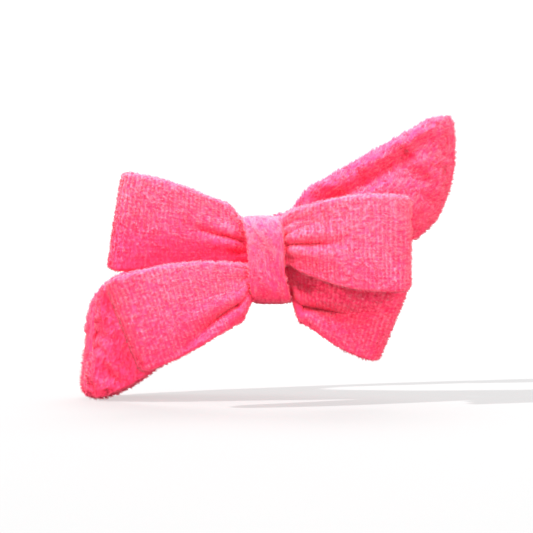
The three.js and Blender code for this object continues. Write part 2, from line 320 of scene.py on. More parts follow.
def new_mesh(name, points, faces, smooth=True):
    """A mesh object at the origin from an array of points and a list of corner arrays, which
    may hold quads and triangles."""
    mesh = bpy.data.meshes.new(name)
    counts = np.concatenate([np.full(len(f), f.shape[1]) for f in faces])
    corners = np.concatenate([f.ravel() for f in faces]).astype(np.int32)
    mesh.vertices.add(len(points))
    mesh.vertices.foreach_set("co", points.astype(np.float32).ravel())
    mesh.loops.add(len(corners))
    mesh.loops.foreach_set("vertex_index", corners)
    mesh.polygons.add(len(counts))
    starts = np.concatenate([[0], np.cumsum(counts)[:-1]]).astype(np.int32)
    mesh.polygons.foreach_set("loop_start", starts)
    mesh.update(calc_edges=True)
    mesh.polygons.foreach_set("use_smooth", np.full(len(counts), smooth))
    piece = bpy.data.objects.new(name, mesh)
    bpy.context.scene.collection.objects.link(piece)
    return piece


def volume_sign(points, faces):
    """1 if the closed faces point outwards and -1 if they point inwards."""
    total = 0.0
    for f in faces:
        for k in range(1, f.shape[1] - 1):
            a, b, c = points[f[:, 0]], points[f[:, k]], points[f[:, k + 1]]
            total += np.einsum("ij,ij->", a, np.cross(b, c))
    return 1 if total >= 0 else -1


def grid_piece(name, p, close_u=False, close_v=False, relief=None, light=0.0):
    """A closed mesh from a grid. A grid that is open along u and closed along v gets a fan at
    each end. It keeps a UV map, Cloth, in centimetres along u and v, and an attribute, Lift,
    which is the relief and light brought to about 0 to 1; light is painted shade and highlight,
    and the skin paints the low relief as shade and the high as highlight."""
    rows, columns = p.shape[:2]
    points = p.reshape(-1, 3)
    faces = [faces_of(rows, columns, close_u, close_v)]
    if close_v and not close_u:
        points = np.vstack([points, p[0].mean(0), p[-1].mean(0)])
        j = np.arange(columns)
        j2 = (j + 1) % columns
        last = (rows - 1) * columns
        first_hub = np.full(columns, rows * columns)
        faces.append(np.stack([j2, first_hub, j], -1))
        faces.append(np.stack([last + j, first_hub + 1, last + j2], -1))
    if volume_sign(points, faces) < 0:
        faces = [f[:, ::-1] for f in faces]
    piece = new_mesh(name, points, faces)
    run_u, whole_u = arc_lengths(p, 0, close_u)
    run_v, whole_v = arc_lengths(p, 1, close_v)
    u, v = np.meshgrid(run_u, run_v, indexing="ij")
    flat = np.column_stack([u.ravel(), v.ravel()])
    if len(points) > len(flat):
        flat = np.vstack([flat, [[0.0, whole_v / 2], [whole_u, whole_v / 2]]])
    corner = np.empty(len(piece.data.loops), np.int32)
    piece.data.loops.foreach_get("vertex_index", corner)
    at = flat[corner]
    for axis, whole in ((0, whole_u), (1, whole_v)):
        at[:, axis] = unwrapped(at[:, axis], whole, faces)
    layer = piece.data.uv_layers.new(name="Cloth")
    layer.data.foreach_set("uv", (at * 100).astype(np.float32).ravel())
    if relief is not None:
        high = 0.5 + 0.3 * (relief / relief.std() + light).ravel()
        high = np.concatenate([high, np.full(len(points) - len(high), 0.5)])
        lift = piece.data.attributes.new("Lift", "FLOAT", "POINT")
        lift.data.foreach_set("value", np.clip(high, 0, 1).astype(np.float32))
    return piece


def unwrapped(run, whole, faces):
    """Lengths at the corners, with those of a face that crosses the closing line moved on by a
    whole turn, so that the face isn't stretched over the map."""
    out = run.copy()
    start = 0
    for f in faces:
        block = out[start:start + f.size].reshape(f.shape)
        high = block.max(axis=1, keepdims=True)
        block[(high - block) > whole / 2] += whole
        out[start:start + f.size] = block.ravel()
        start += f.size
    return out


# ---- The pile -----------------------------------------------------------------------------------


def pile_relief(p, close_u, close_v, seed, depth, rib=0.0):
    """How high the pile stands at each point of a grid, from about -1 to 1 times depth: clumps
    about two millimetres long and one across, finer strands over them, broad tufty patches and,
    if rib isn't 0, knitted ribs of that share across u, broken up by short courses."""
    _, _, pile, _ = sizes()
    run_u, _ = arc_lengths(p, 0, close_u)
    run_v, whole_v = arc_lengths(p, 1, close_v)
    u, v = np.meshgrid(run_u / MM, run_v / MM, indexing="ij")
    cells = max(8, int(round(whole_v / MM / 1.05)))
    fine = v * cells / (whole_v / MM)
    sway = 1.6 * noise(u / 9, fine / 7, seed, max(1, round(cells / 7)))
    clumps = noise(u / 1.9 + sway, fine, seed + 1, cells)
    strands = noise(u / 0.9 - sway, fine * 2, seed + 2, 2 * cells)
    patches = noise(u / 8, fine / 5, seed + 3, max(1, round(cells / 5)))
    height = 0.5 * clumps + 0.4 * strands + 0.08 * patches
    if rib:
        beat = np.sin(2 * np.pi * (u * MM / pile.rib_pitch) + 1.3 * patches + 0.9 * clumps)
        course = np.sin(2 * np.pi * np.round(whole_v / 1.6 / MM) * v * MM / whole_v + 1.5 * beat)
        height = mix(height, beat + 0.5 * course, rib * (0.8 + 0.5 * patches))
    return depth * height


def lie(p, close_u, close_v, height):
    """The grid moved out along its normals by height."""
    _, _, normal = tangents(p, close_u, close_v)
    sign = 1 if volume_sign_of_grid(p, close_u, close_v) > 0 else -1
    return p + sign * normal * height[..., None]


def volume_sign_of_grid(p, close_u, close_v):
    """Which way the grid's own normals point: 1 is outwards."""
    points = p.reshape(-1, 3) - p.reshape(-1, 3).mean(0)
    return volume_sign(points, [faces_of(*p.shape[:2], close_u, close_v)])


def nearest_of(points, chosen):
    """For each point the number of the nearest of the chosen ones, found with a tree."""
    tree = KDTree(len(chosen))
    for number, point in enumerate(chosen):
        tree.insert(point, number)
    tree.balance()
    return np.array([tree.find(point)[1] for point in points])


def settle(p, held, pressure, spare, frames=22):
    """Lets a closed tube of cloth find its own shape in a cloth simulation: it is cut a share,
    spare, larger than its place, is held where held is true, and air inside pushes it out. A
    coarse grid is simulated, and its shift is carried to the fine one by straight mixing."""
    rows, columns = p.shape[:2]
    pick_u = np.linspace(0, rows - 1, COARSE_ROWS).round().astype(int)
    pick_v = np.arange(0, columns, COARSE_STEP)
    rest = p[np.ix_(pick_u, pick_v)]
    piece = grid_piece("settling", rest, close_v=True)
    group = piece.vertex_groups.new(name="held")
    fixed = np.flatnonzero(held[np.ix_(pick_u, pick_v)].ravel())
    count = rest.shape[0] * rest.shape[1]
    group.add([*fixed.tolist(), count, count + 1], 1.0, "REPLACE")
    cloth = piece.modifiers.new("Cloth", "CLOTH")
    rules = cloth.settings
    rules.quality = 7
    rules.mass = 0.0005
    rules.tension_stiffness = rules.compression_stiffness = 6
    rules.shear_stiffness = 2
    rules.bending_stiffness = 0.05
    rules.vertex_group_mass = "held"
    rules.use_pressure = True
    rules.uniform_pressure_force = pressure
    rules.shrink_min = -spare
    rules.effector_weights.gravity = 0
    cloth.collision_settings.use_collision = False
    cloth.point_cache.frame_end = frames
    scene = bpy.context.scene
    for number in range(1, frames + 1):
        scene.frame_set(number)
    made = piece.evaluated_get(bpy.context.evaluated_depsgraph_get())
    flat = np.empty(3 * len(made.data.vertices), np.float32)
    made.data.vertices.foreach_get("co", flat)
    shift = flat.reshape(-1, 3)[:count].reshape(rest.shape) - rest
    shift = np.concatenate([shift, shift[:, :1]], axis=1)
    scene.frame_set(1)
    bpy.data.objects.remove(piece, do_unlink=True)
    at_v = np.append(pick_v, columns)
    wide = [np.array([np.interp(np.arange(columns), at_v, row) for row in shift[..., k]])
            for k in range(3)]
    full = [np.array([np.interp(np.arange(rows), pick_u, column) for column in w.T]).T
            for w in wide]
    return p + np.stack(full, -1)


def pile_piece(name, p, close_u, close_v, relief, seed, tuft, nap, density, keep=None, light=0.0):
    """Tufts of pile on a grid's surface. Each tuft is a slim closed spike of four faces: its
    root is a triangle just under the surface, and its tip stands a tuft's length away, leaning
    along the nap. They are scattered by area, from seeded random numbers, more thickly where
    the relief stands high. Each takes one of three tones, partly at random and partly as
    painted light: painted highlight where the relief stands high and where light is raised,
    painted shade where it is lowered. Their normals lean towards the surface's own, since a
    dense pile is lit as a whole."""
    _, _, pile, _ = sizes()
    rng = np.random.default_rng(seed)
    du, _, normal = tangents(p, close_u, close_v)
    if volume_sign_of_grid(p, close_u, close_v) < 0:
        normal = -normal
    quads = faces_of(*p.shape[:2], close_u, close_v)
    flat = p.reshape(-1, 3)
    a, b, c, d = (flat[quads[:, k]] for k in range(4))
    area = np.linalg.norm(np.cross(c - a, d - b), axis=1) / 2
    if keep is not None:
        area = area * keep.reshape(-1)[quads[:, 0]]
    count = int(area.sum() * density)
    high = relief.reshape(-1) / (1.6 * relief.std())
    area = area * (0.35 + 0.65 * ease(0.5 + 0.5 * high[quads[:, 0]]))
    chosen = np.searchsorted(np.cumsum(area) / area.sum(), rng.random(count))
    chosen = np.minimum(chosen, len(quads) - 1)
    s = rng.random((count, 1))
    t = rng.random((count, 1))
    root = mix(mix(a[chosen], b[chosen], s), mix(d[chosen], c[chosen], s), t)
    corner = quads[chosen, 0]
    n = normal.reshape(-1, 3)[corner]
    east = unit(du.reshape(-1, 3)[corner])
    east = unit(east - n * np.einsum("ij,ij->i", east, n)[:, None])
    north = np.cross(n, east)
    swirl = nap + 0.35 * rng.standard_normal(count)
    way = east * np.cos(swirl)[:, None] + north * np.sin(swirl)[:, None]
    rise = 0.5 + 0.5 * rng.random((count, 1))
    reach = tuft * (0.65 + 0.7 * rng.random((count, 1)))
    tip = root + unit(way * (1 - 0.5 * rise) + n * rise) * reach
    tip = mix(tip, tip[nearest_of(root, root[: max(1, count // 9)])], 0.45)
    width = pile.tuft_half * (0.75 + 0.5 * rng.random((count, 1)))
    side = np.cross(way, n)
    sunk = root - n * 0.25 * MM
    ring = [sunk + side * width, sunk - side * width * 0.9, sunk - way * width + n * width]
    points = np.stack([*ring, tip], 1).reshape(-1, 3)
    base = 4 * np.arange(count)[:, None]
    shape = np.array([[0, 1, 2], [0, 3, 1], [1, 3, 2], [2, 3, 0]])
    first = points[:4]
    if np.dot(first[0] - first.mean(0), np.cross(*(first[shape[1][1:]] - first[0]))) < 0:
        shape = shape[:, ::-1]
    faces = (base[:, :, None] + shape[None]).reshape(-1, 3)
    piece = new_mesh(name, points, [faces], smooth=True)
    light = np.broadcast_to(light, relief.shape).reshape(-1)[corner]
    # Painted highlight on high clumps and where light is raised, painted shade where low, with a
    # random share.
    shade = 0.8 * high[corner] + light + 0.5 * rng.standard_normal(count)
    tone = np.digitize(shade, TONE_STEPS)
    piece.data.polygons.foreach_set("material_index", np.repeat(tone, len(shape)).astype(np.int32))
    # The deep tone stands for painted shade and the pale one for painted highlight.
    for material in ("deep_pile_and_painted_shade", "plush_pile", "pale_pile_and_painted_highlight"):
        piece.data.materials.append(finish(material))
    facing = 0.35 * n[:, None] + 0.95 * np.stack([side, -side, -way, unit(tip - root)], 1)
    piece.data.normals_split_custom_set_from_vertices(unit(facing).reshape(-1, 3).tolist())
    return piece


# ---- Shader maths -------------------------------------------------------------------------------


class Socket:
    """A node's output, with Python's operators turned into Math nodes."""

    def __init__(self, maker, socket):
        self.maker = maker
        self.socket = socket

    def math(self, operation, *others, first=None):
        values = [self if first is None else first, *others]
        return self.maker.node("ShaderNodeMath", {"operation": operation}, values)

    def __add__(self, other):
        return self.math("ADD", other)

    def __radd__(self, other):
        return self.math("ADD", other)

    def __sub__(self, other):
        return self.math("SUBTRACT", other)

    def __rsub__(self, other):
        return self.math("SUBTRACT", self, first=other)

    def __mul__(self, other):
        return self.math("MULTIPLY", other)

    def __rmul__(self, other):
        return self.math("MULTIPLY", other)

    def sin(self):
        return self.math("SINE")


class Maker:
    """Adds nodes to one material."""

    def __init__(self, material):
        self.tree = material.node_tree
        self.tree.nodes.clear()

    def node(self, kind, settings=None, inputs=(), output=0):
        """One node: its settings are set first, then its sockets, from a list or by name."""
        made = self.tree.nodes.new(kind)
        for key, value in (settings or {}).items():
            setattr(made, key, value)
        pairs = inputs.items() if isinstance(inputs, dict) else enumerate(inputs)
        for key, value in pairs:
            if isinstance(value, Socket):
                self.tree.links.new(value.socket, made.inputs[key])
            else:
                made.inputs[key].default_value = value
        return Socket(self, made.outputs[output]) if len(made.outputs) else None

    def split(self, vector):
        """A vector's three parts."""
        return [self.node("ShaderNodeSeparateXYZ", None, [vector], output=k) for k in range(3)]

    def shaded(self, colour, dark, tone):
        """A colour where tone is 1, and that colour times dark where it is 0."""
        return self.blend(rgba(dark * c for c in colour), rgba(colour), tone)

    def blend(self, a, b, factor):
        """A colour from a to b."""
        settings = {"data_type": "RGBA", "clamp_factor": True}
        return self.node("ShaderNodeMix", settings, {0: factor, 6: a, 7: b}, output=2)

    def cloth(self, along_scale=1.0, across_scale=1.0):
        """The piece's own map in centimetres, stretched by two scales."""
        uv = self.node("ShaderNodeUVMap", {"uv_map": "Cloth"})
        scale = {0: uv, 1: (along_scale, across_scale, 1.0)}
        return self.node("ShaderNodeVectorMath", {"operation": "MULTIPLY"}, scale)

    def place(self):
        """Object coordinates."""
        return self.node("ShaderNodeTexCoord", output=3)

    def speckle(self, vector, scale, detail=3.0, rough=0.55):
        """Noise from 0 to 1."""
        inputs = {"Vector": vector, "Scale": scale, "Detail": detail, "Roughness": rough}
        return self.node("ShaderNodeTexNoise", {"noise_dimensions": "3D"}, inputs)

    def surface(self, base, rough, bump=None, bump_depth=0.0002, **fixed):
        """A Principled surface. Only base, roughness and the bump vary over it."""
        inputs = {"Base Color": base, "Roughness": rough}
        inputs.update({key.replace("_", " "): value for key, value in fixed.items()})
        if bump is not None:
            heights = {"Strength": 1.0, "Distance": bump_depth, "Height": bump}
            inputs["Normal"] = self.node("ShaderNodeBump", None, heights)
        shader = self.node("ShaderNodeBsdfPrincipled", None, inputs)
        self.node("ShaderNodeOutputMaterial", None, {"Surface": shader})


def rgba(value):
    """A colour with full alpha."""
    return (*value, 1.0)


def plush_skin(make, rib):
    """Velour between its tufts: painted shade in the gaps and where Lift grades it darker, painted
    highlight on the clumps, along the ribs and where Lift grades it lighter, with fine strands and
    patches of the cloth's own tone.
    """
    _, _, _, colours = sizes()
    strands = make.speckle(make.cloth(5.0, 16.0), 1.6, 3.0, 0.6)
    patches = make.speckle(make.place(), 60.0, 2.0, 0.5)
    lift = make.node("ShaderNodeAttribute", {"attribute_name": "Lift"}, output=2)
    # Painted shade and highlight from Lift, with the strands' and patches' own tone.
    tone = (1.0 if rib else 0.8) * lift + 0.5 * strands + 0.1 * patches - 0.35
    deep, middle, tip = map(rgba, (colours.deep_plush_and_painted_shade, colours.plush, colours.pale_plush_and_painted_highlight))
    base = make.blend(make.blend(deep, middle, tone * 2), tip, tone * 2 - 1.0)
    make.surface(
        base, 0.92 - 0.1 * strands, bump=strands, bump_depth=0.0001, **PLUSH_SHEEN,
    )


def plush_tufts(make, base):
    """The tufts' fibre: one tone, the deep one carrying painted shade and the pale one painted
    highlight, with a pale sheen along their sides.
    """
    make.surface(rgba(base), 0.9, **PLUSH_SHEEN)


def twisted_thread(make):
    """Two-ply sewing thread: fine slanted twists across its length."""
    _, _, _, colours = sizes()
    x, y, z = make.split(make.place())
    twist = (x * 5200 + y * 3100 + z * 6400).sin()
    base = make.shaded(colours.thread, 0.72, 0.5 + 0.5 * twist)
    make.surface(base, 0.55 + 0.1 * twist, bump=twist, bump_depth=0.0001, Sheen_Weight=0.2)


def knitted_elastic(make):
    """Ribbed elastic: fine lengthwise cords with a knitted beat across them."""
    _, _, _, colours = sizes()
    x, y, z = make.split(make.place())
    cords = ((z - 0.5 * x) * 4200).sin()
    beat = ((x + y) * 3000).sin()
    tone = 0.5 + 0.3 * cords + 0.2 * beat
    make.surface(
        make.shaded(colours.elastic, 0.8, tone), 0.75 + 0.1 * beat,
        bump=tone, bump_depth=0.0003, Sheen_Weight=0.1,
    )


def fibre_wadding(make):
    """Loose polyester wadding: soft tangled clumps."""
    _, _, _, colours = sizes()
    tangle = make.speckle(make.place(), 420.0, 5.0, 0.7)
    make.surface(
        make.shaded(colours.wadding, 0.82, tangle * 1.4 - 0.2), 0.95 - 0.1 * tangle,
        bump=tangle, bump_depth=0.0008, Sheen_Weight=0.3,
    )


def satin_label(make):
    """Woven satin tape with nothing on it: fine floats across and a slight gloss."""
    _, _, _, colours = sizes()
    u, v, _ = make.split(make.cloth())
    weave = (u * 190).sin() * (v * 260).sin()
    make.surface(
        make.shaded(colours.label, 0.9, 0.5 + 0.5 * weave), 0.42 + 0.08 * weave,
        bump=weave, bump_depth=0.00006, Sheen_Weight=0.1,
    )


FINISHES = {
    "deep_pile_and_painted_shade": lambda make: plush_tufts(make, sizes()[3].deep_plush_and_painted_shade),
    "plush_ribbed": lambda make: plush_skin(make, rib=True),
    "plush_plain": lambda make: plush_skin(make, rib=False),
    "plush_pile": lambda make: plush_tufts(make, sizes()[3].plush),
    "pale_pile_and_painted_highlight": lambda make: plush_tufts(make, sizes()[3].pale_plush_and_painted_highlight),
    "sewing_thread": twisted_thread,
    "knitted_elastic": knitted_elastic,
    "wadding": fibre_wadding,
    "satin_label": satin_label,
}


def finish(name):
    """A material by name, made the first time it is asked for."""
    made = bpy.data.materials.get(name)
    if made is None:
        made = bpy.data.materials.new(name)
        made.use_nodes = True
        FINISHES[name](Maker(made))
    return made


def dress(piece, material, body=None, seam=None, stands_for=()):
    """Gives a piece its finish and slot and hides the CAD nodes that it stands for. It rides on
    body; a seam, (body a, body b, start, end), is read only for whether it is given, and then
    the piece's place is baked into its mesh instead."""
    piece.data.materials.clear()
    piece.data.materials.append(finish(material))
    if stands_for:
        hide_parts(*stands_for)
    carry(piece, body, seam)


def carry(piece, body, seam):
    """Rides a piece on a body, or, given a seam, bakes its place into its mesh."""
    if seam:
        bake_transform(piece)
    else:
        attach(piece, body)


# ---- The loop -----------------------------------------------------------------------------------


def centre_height(x):
    """The height of the loop's centreline at x: level under the knot, then climbing. It is
    sqrt(x^2 + ease^2) - ease, scaled to reach the side's rise at the loop's half width."""
    loop = sizes()[0]
    run = np.hypot(x, loop.rise_ease) - loop.rise_ease
    whole = math.hypot(loop.half_width, loop.rise_ease) - loop.rise_ease
    return np.sign(x) * loop.side_rise * run / whole


def loop_point(t, h, d):
    """Points of the loop at angle t (-90 degrees is the bow), a height h off its centreline
    and a distance d out from its middle surface: an oval whose rims lean at the sides."""
    loop = sizes()[0]
    c = np.cos(t)
    s = np.sin(t)
    x = loop.half_width * c
    out_x = c / loop.half_width
    out_y = s / loop.half_depth
    size = np.hypot(out_x, out_y)
    lean = loop.side_lean * h / loop.front_half_height + 1.6 * MM * hump(h, -2 * MM, 14 * MM)
    lean = lean * c * c
    return np.stack(
        np.broadcast_arrays(
            x + lean + d * out_x / size,
            loop.half_depth * s + d * out_y / size,
            centre_height(x) + h,
        ),
        -1,
    )


def front_half_height(t):
    """Half the front band's height: of what it gains from the neck under the knot to the sides,
    three quarters come over the flare, as a quarter of a sine wave, and the rest evenly."""
    loop = sizes()[0]
    x = np.abs(loop.half_width * np.cos(t))
    opened = np.sin(math.pi / 2 * np.clip((x - loop.neck_half_width) / loop.flare, 0, 1))
    widened = np.clip((x - loop.neck_half_width) / (0.8 * loop.half_width), 0, 1)
    gained = 0.75 * opened + 0.25 * widened
    return mix(loop.neck_half_height, loop.front_half_height, gained)


def casing_half_height(t):
    """Half the rear casing's height: the front band's at the seams, eased in to the back's."""
    loop = sizes()[0]
    seam = math.sin(loop.seam_angle)
    behind = ease((np.sin(t) + seam) / (1 + seam))
    corner = 2.6 * MM * ease((t + loop.seam_angle) / (16 * RAD))
    corner = corner * ease((math.pi + loop.seam_angle - t) / (16 * RAD)) * (1 - behind)
    return mix(loop.front_half_height - 2.8 * MM, loop.back_half_height, behind) - corner


def pillow_section(count, half_height, half_depth, squareness):
    """An oval outline (height, depth), each from -1 to 1, evenly spaced along the length it
    has at the given half height and depth. It starts at the middle of the outer side."""
    a = np.linspace(0, 2 * np.pi, 4000, endpoint=False)
    outline = np.column_stack([power(np.sin(a), 0.9), power(np.cos(a), squareness)])
    scaled = outline * [half_height, half_depth]
    return even(scaled, count) / [half_height, half_depth]


def end_rounding(distance, radius):
    """How full a section is at a distance from the piece's end: a quarter circle's profile."""
    x = np.clip(distance / radius, 0.0, 1.0)
    return np.sqrt(np.maximum(1 - (1 - x) ** 2, 0.02))


def front_band_grid(rows, columns, creased=1.0):
    """The padded front band: an oval section carried round the front of the loop. Rim seams
    pull a groove into its edges, gathers run out from the knot, one deep fold runs up the +X
    side, and short puckers stand along both side seams. creased scales the folds."""
    loop = sizes()[0]
    gap = SEAM_GAP / loop.half_depth
    t = np.linspace(-math.pi + loop.seam_angle + gap, -loop.seam_angle - gap, rows)[:, None]
    section = pillow_section(
        columns, loop.front_half_height, loop.pad_half, PAD_SQUARENESS,
    )
    across = section[None, :, 0]
    depth = section[None, :, 1]
    x = loop.half_width * np.cos(t)
    side_x = np.abs(x)
    run = loop.half_depth * np.minimum(-t - loop.seam_angle, t + math.pi - loop.seam_angle)
    run = run * ARC_SHARE
    full = end_rounding(run, 2.6 * MM)
    h = front_half_height(t) * across * mix(0.975, 1.0, full) * (1 - 0.09 * hump(run, 0, 9 * MM))
    h = h - 3.4 * MM * hump(x, -70 * MM, 17 * MM) * ease(-across)
    thick = loop.pad_half * mix(1.0, 0.72, hump(run, 0, 9 * MM)) * full
    d = thick * depth
    rim = hump(depth, 0, 0.13) * (np.abs(across) > 0.8)
    h = h - np.sign(across) * rim * 0.9 * MM
    # Gathers that fan out from the knot on both faces.
    fan = hump(side_x, 8 * MM, 26 * MM)
    folds = np.cos(across * 9.5 + 0.6 + 0.8 * np.sin(x / MM / 19))
    d = d + creased * 1.9 * MM * fan * folds * (1 - across**4)
    # The fold up the +X side, with a soft ridge over it, and a shallower one on the -X side.
    front = np.clip(depth * 1.6, 0, 1)
    valley = hump(across, 0.5 + 0.12 * ease((x - 40 * MM) / (45 * MM)), 0.17)
    reach = ease((x - 12 * MM) / (22 * MM)) * (1 - ease((x - 62 * MM) / (26 * MM)))
    ridge = hump(across, 0.86, 0.13)
    front = creased * front
    d = d - front * reach * (4.4 * MM * valley - 1.6 * MM * ridge)
    low = hump(across, -0.25, 0.3) * ease((x - 30 * MM) / (30 * MM))
    d = d + front * 1.2 * MM * low
    dent = hump(across, 0.15, 0.3) * ease((-x - 45 * MM) / (20 * MM)) * hump(-x, 80 * MM, 22 * MM)
    d = d - front * 1.8 * MM * dent
    # Puckers at the side seams.
    beat = noise(across * 6.5 + 3, np.sign(x) * 2.0 + 0 * across, 11)
    pucker = beat + 0.6 * noise(across * 13, np.sign(x) * 3.0 + 0 * across, 12)
    d = d + 1.1 * MM * pucker * hump(run, 2 * MM, 7 * MM) * np.sign(depth) * np.abs(depth)
    h = h + 0.5 * MM * pucker * hump(run, 0, 6 * MM) * np.abs(across)
    soft = noise(side_x / MM / 13, across * 3.2 + 5, 14)
    d = d + 0.3 * MM * soft * np.sign(depth) * np.abs(depth)
    return loop_point(t, h, d)


def filling_grid(p, columns=96, reach=0.74, share=0.42):
    """The wadding inside a pad whose grid is p: an oval section that lies in the middle between
    the pad's two faces, reaches a share of the way to its rims, and is a share as thick."""
    loop = sizes()[0]
    shape = (loop.front_half_height, loop.pad_half, PAD_SQUARENESS)
    face = pillow_section(p.shape[1], *shape)
    inner = pillow_section(columns, *shape)
    number = np.arange(p.shape[1])

    def column(outwards):
        side = face[:, 1] * outwards > 0
        order = np.argsort(face[side, 0])
        near = np.interp(inner[:, 0] * reach, face[side, 0][order], np.arange(order.size))
        return number[side][order][near.round().astype(int)]

    rows = p[10:-10:2]
    outer = rows[:, column(1)]
    lining = rows[:, column(-1)]
    return (outer + lining) / 2 + (outer - lining) / 2 * share * inner[None, :, 1:]


def casing_grid(rows, columns):
    """The rear casing: an oval section carried round the back. The elastic draws it up into
    upright gathers, tightest at the back, and its rims frill with them."""
    loop = sizes()[0]
    gap = SEAM_GAP / loop.half_depth
    t = np.linspace(-loop.seam_angle + gap, math.pi + loop.seam_angle - gap, rows)[:, None]
    section = pillow_section(columns, 25 * MM, loop.casing_half, 0.6)
    across = section[None, :, 0]
    depth = section[None, :, 1]
    run = loop.half_depth * np.minimum(t + loop.seam_angle, math.pi + loop.seam_angle - t)
    run = run * ARC_SHARE
    full = end_rounding(run, 2.2 * MM)
    drawn = ease(run / (30 * MM))
    along_mm = (t + loop.seam_angle) * 62
    wander = 1.6 * noise(along_mm / 14 + 0 * across, across * 1.1 + 4, 21)
    gathers = noise(along_mm / 4.1 + wander, across * 0.9 + 8, 22)
    gathers = 1 - 2 * np.abs(gathers) ** 0.8
    small = noise(along_mm / 2.1 + wander, across * 2.2 + 2, 23)
    lift = (0.8 + 1.7 * drawn) * MM * gathers + 0.45 * MM * small
    frill = noise(along_mm / 3.2 + 0 * across, np.sign(across) * 2.5 + 6.5, 24)
    h = casing_half_height(t) * across * mix(0.975, 1.0, full)
    h = h + 1.1 * MM * frill * np.abs(across) ** 3 * drawn * np.sign(across)
    thick = loop.casing_half * mix(0.85, 1.0, drawn) * full
    d = thick * depth + lift * np.sign(depth) * np.abs(depth) ** 0.7 * full * 0.8
    rim = hump(depth, 0, 0.16) * (np.abs(across) > 0.8)
    h = h - np.sign(across) * rim * 0.7 * MM
    return loop_point(t, h, d)


# ---- The bow ------------------------------------------------------------------------------------

# Each lobe: its side, which strip it is, its lower and upper edge at the knot (heights) and at
# its end (x, z), how far those edges belly out halfway and puff out beside the knot, its folds,
# and, under its nap key, the painted shade and highlight on its pile: the first value at its
# lower edge, where shade falls, and the second near its upper edge, where light falls from
# above. Lengths are in millimetres. A fold is (where it is across the strip at the knot and at
# the lobe's end, half width across, depth, share of the length).
LOBES = {
    "bow_rear_left": {
        "nap": (-1.7, 0.4),
        "side": -1, "front": False, "joint": "rear_left_bend", "body": "rear_left_lobe",
        "root": (-1.5, 20.5), "end": ((-80.8, -6), (-73, 44)), "belly": (-1.0, 4.0),
        "puff": (-0.5, 5.5), "folds": ((0.43, 0.66, 0.060, 6.0, 0.26), (0.80, 0.84, 0.08, 0.8, 0.15)),
    },
    "bow_front_left": {
        "nap": (-0.75, 0.1),
        "side": -1, "front": True, "joint": "front_left_bend", "body": "front_left_lobe",
        "root": (-21, -3.5), "end": ((-63.5, -55.9), (-81.2, -9.8)), "belly": (-4.6, 4.5),
        "puff": (-9.0, 0.5), "folds": ((0.33, -0.05, 0.075, 7.0, 0.42), (0.74, 0.68, 0.08, 0.7, 0.15)),
    },
    "bow_rear_right": {
        "nap": (-0.45, -0.2),
        "side": 1, "front": False, "joint": "rear_right_bend", "body": "rear_right_lobe",
        "root": (-20.5, -3), "end": ((56.7, -51.5), (74, -9)), "belly": (-5.8, 0.0),
        "puff": (-11.0, 0.0), "folds": ((0.24, 0.60, 0.090, 7.0, 0.75), (0.70, 0.70, 0.08, 0.8, 0.2)),
    },
    "bow_front_right": {
        "nap": (-0.1, 0.5),
        "side": 1, "front": True, "joint": "front_right_bend", "body": "front_right_lobe",
        "root": (-2.5, 20.5), "end": ((72, -15.5), (72, 32)), "belly": (-4.5, 5.0),
        "puff": (-1.0, 3.0), "folds": ((0.43, 0.57, 0.065, 6.5, 0.32), (0.82, 0.86, 0.08, 0.7, 0.15)),
    },
}

BEND_SHARE = 0.4
OPEN_SHARE = 0.8
LEAN_SHARE = 0.6
LOBE_GAP = 2 * MM


def knot_edge(side, z):
    """The x of the knot's side edge at height z: it leans with the knot."""
    bow = sizes()[1]
    return side * bow.knot_half_width - z * math.tan(bow.knot_tilt)


def lobe_middle(shape, u, v):
    """The middle surface of a lobe's wall. u from 0 to 1 runs out along the front wall, round
    the end in a half turn and back along the rear wall; v from 0 to 1 crosses the strip from
    its lower edge to its upper one. s is the share of the lobe's length, below 0 under the
    knot. The walls part with an easing of s, and the whole lobe leans forward with sin s."""
    bow = sizes()[1]
    side = shape["side"]
    (low_x, low_z), (high_x, high_z) = shape["end"]
    reach = abs(low_x + high_x) / 2 * MM - bow.knot_half_width
    bend = 1 - bow.lobe_half_depth / reach
    tuck = bow.tuck / reach
    walls = 1 / BEND_SHARE
    turn = (1 - 2 * u) * walls
    arc = np.clip(turn, -1, 1) * math.pi / 2
    flat = np.clip((walls - np.abs(turn)) / (walls - 1), 0, 1)
    s_flat = -tuck + (bend + tuck) * flat
    s = np.where(np.abs(turn) > 1, s_flat, bend + (1 - bend) * np.cos(arc))
    opened = ease(np.minimum(s, bend) / OPEN_SHARE)
    half = mix(bow.strip_half + 0.15 * MM, bow.lobe_half_depth, opened)
    w = np.sin(arc) * half

    def edge(root_z, end_x, end_z, belly, puff):
        inside = 1 - 0.2 * ease(-s / tuck)
        x0 = knot_edge(side, root_z * MM) + side * LOBE_GAP
        x = mix(x0, (end_x - side * 2.0) * MM, s)
        z = mix(root_z * MM, end_z * MM, np.maximum(s, 0)) * inside
        swell = belly * np.sin(math.pi * np.clip(s, 0, 1)) + puff * ease(s / 0.1) * np.exp(-5 * s)
        return x, z + swell * MM

    puff = shape["puff"]
    v = 0.5 + (v - 0.5) * (1 - 0.05 * np.clip((s - 0.93) / 0.07, 0, 1) ** 2)
    lower_x, lower_z = edge(shape["root"][0], low_x, low_z, shape["belly"][0], puff[0])
    upper_x, upper_z = edge(shape["root"][1], high_x, high_z, shape["belly"][1], puff[1])
    strip = bow.front_strip if shape["front"] else bow.rear_strip
    lean = bow.front_lean if shape["front"] else bow.rear_lean
    rise = np.sin(math.pi / 2 * np.clip(s / LEAN_SHARE, 0, 1))
    forward = strip + lean * rise + w
    forward = forward + lobe_folds(shape, s, v, np.sin(arc))
    x = mix(lower_x, upper_x, v)
    z = mix(lower_z, upper_z, v)
    return np.stack(np.broadcast_arrays(x, -forward, z), -1)


